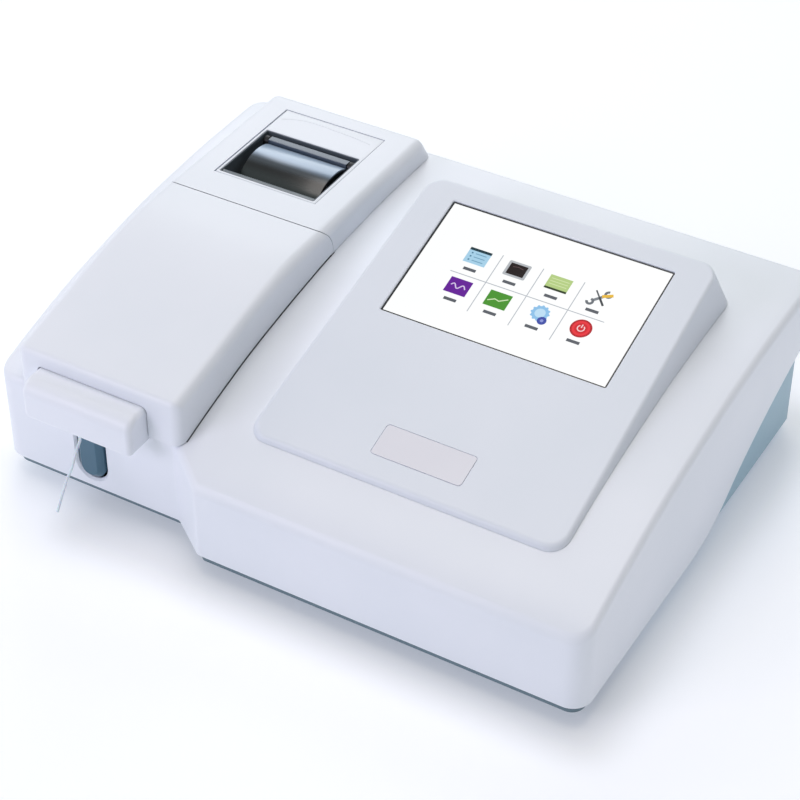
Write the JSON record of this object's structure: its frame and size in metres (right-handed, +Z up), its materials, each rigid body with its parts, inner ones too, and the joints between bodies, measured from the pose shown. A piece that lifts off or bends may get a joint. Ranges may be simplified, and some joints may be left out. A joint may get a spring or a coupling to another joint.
{
  "type": "benchtop chemistry analyzer",
  "caption": "Benchtop chemistry analyzer with a sloping white casing, tilted touch display, hinged lid over the measuring bay, paper printer, sipper probe and aspirate key.",
  "frame": {"origin": "on the bench under the middle of the bounding box", "axes": "+X to the instrument's right as seen from its front, +Y to its back, +Z up"},
  "size_m": [0.42, 0.3502, 0.1514],
  "materials": {
    "white_shell": "fine moulded satin",
    "white_module": "fine moulded satin",
    "pale_bezel": "fine moulded satin",
    "slate_base": "moulded matte",
    "slate_key": "semi-gloss",
    "smoked_plastic": "polished, smoked",
    "black_plastic": "moulded matte",
    "grey_plastic": "moulded matte",
    "dark_rubber": "matte",
    "screen_glass": "glossy panel",
    "steel": "brushed",
    "aluminium": "bead blasted",
    "brass": "turned",
    "board_green": "solder mask",
    "paper": "thermal paper",
    "clear_glass": "polished",
    "filter_glass": "coated",
    "silicone": "translucent",
    "ptfe": "translucent white"
  },
  "bodies": {
    "casing": {"main_shell": "white_shell", "printer_cover": "white_module", "printer_bezel": "white_module", "probe_block": "white_module", "display_bezel": "pale_bezel", "name_plate": "pale_bezel", "base_tray": "slate_base", "paper_bucket": "black_plastic", "cover_axle": "black_plastic", "key_switch": "black_plastic", "detector_housing": "black_plastic", "power_inlet": "black_plastic", "switch_body": "black_plastic", "fan_frame": "black_plastic", "bay_tub": "grey_plastic", "print_head": "grey_plastic", "pump_housing": "grey_plastic", "foot_front_left": "dark_rubber", "foot_front_right": "dark_rubber", "foot_rear_left": "dark_rubber", "foot_rear_right": "dark_rubber", "touch_screen": "screen_glass", "case_screw_1": "steel", "case_screw_2": "steel", "case_screw_3": "steel", "case_screw_4": "steel", "lid_pin_left": "steel", "lid_pin_right": "steel", "tear_bar": "steel", "halogen_lamp": "steel", "wheel_motor": "steel", "pump_motor": "steel", "rear_panel": "steel", "serial_port": "steel", "key_bracket": "aluminium", "optics_plate": "aluminium", "cell_holder": "aluminium", "lamp_housing": "aluminium", "power_supply": "aluminium", "waste_fitting": "brass", "main_board": "board_green", "condenser_lens": "clear_glass", "pump_tube": "silicone", "sipper_probe": "ptfe"},
    "lid": {"sample_lid": "white_module"},
    "paper_cover": {"paper_cover": "smoked_plastic"},
    "roll": {"paper_roll": "paper"},
    "platen": {"platen_roller": "dark_rubber"},
    "key": {"aspirate_key": "slate_key"},
    "rocker": {"power_rocker": "black_plastic"},
    "fan": {"fan_rotor": "black_plastic"},
    "wheel": {"filter_wheel": "black_plastic", "filter_1": "filter_glass", "filter_2": "filter_glass", "filter_3": "filter_glass", "filter_4": "filter_glass", "filter_5": "filter_glass", "filter_6": "filter_glass"},
    "pump": {"pump_rotor": "black_plastic"},
    "cell": {"flow_cell": "clear_glass"}
  },
  "joints": [
    {"name": "lid_hinge", "type": "hinge", "parent": "casing", "child": "lid", "pos_m": [-0.128, 0.01192, 0.116], "axis": [-1, 0, 0], "range_deg": [0, 75]},
    {"name": "paper_cover_hinge", "type": "hinge", "parent": "casing", "child": "paper_cover", "pos_m": [-0.12925, 0.10827, 0.132], "axis": [-1, 0, 0], "range_deg": [0, 95]},
    {"name": "roll_spin", "type": "hinge", "parent": "casing", "child": "roll", "pos_m": [-0.12925, 0.09162, 0.1], "axis": [1, 0, 0], "continuous": true},
    {"name": "platen_spin", "type": "hinge", "parent": "casing", "child": "platen", "pos_m": [-0.12925, 0.06232, 0.11], "axis": [1, 0, 0], "continuous": true},
    {"name": "aspirate_key_press", "type": "hinge", "parent": "casing", "child": "key", "pos_m": [-0.1405, -0.12438, 0.065], "axis": [1, 0, 0], "range_deg": [0, 6], "stiffness_Nm_per_rad": 0.4, "springref_deg": -2.86},
    {"name": "power_rocker_tilt", "type": "hinge", "parent": "casing", "child": "rocker", "pos_m": [0.12, 0.15762, 0.038], "axis": [1, 0, 0], "range_deg": [0, 18]},
    {"name": "fan_spin", "type": "hinge", "parent": "casing", "child": "fan", "pos_m": [0.06, 0.15062, 0.042], "axis": [0, 1, 0], "continuous": true},
    {"name": "filter_wheel_spin", "type": "hinge", "parent": "casing", "child": "wheel", "pos_m": [-0.155, -0.01538, 0.05], "axis": [0, 1, 0], "continuous": true},
    {"name": "pump_spin", "type": "hinge", "parent": "casing", "child": "pump", "pos_m": [-0.098, -0.05638, 0.086], "axis": [0, 0, 1], "continuous": true},
    {"name": "flow_cell_lift", "type": "slide", "parent": "casing", "child": "cell", "axis": [0, 0, 1], "range_m": [0, 0.034]}
  ],
  "couplings": [
    {"joint": "platen_spin", "follows": "roll_spin", "ratio": 3.8}
  ]
}
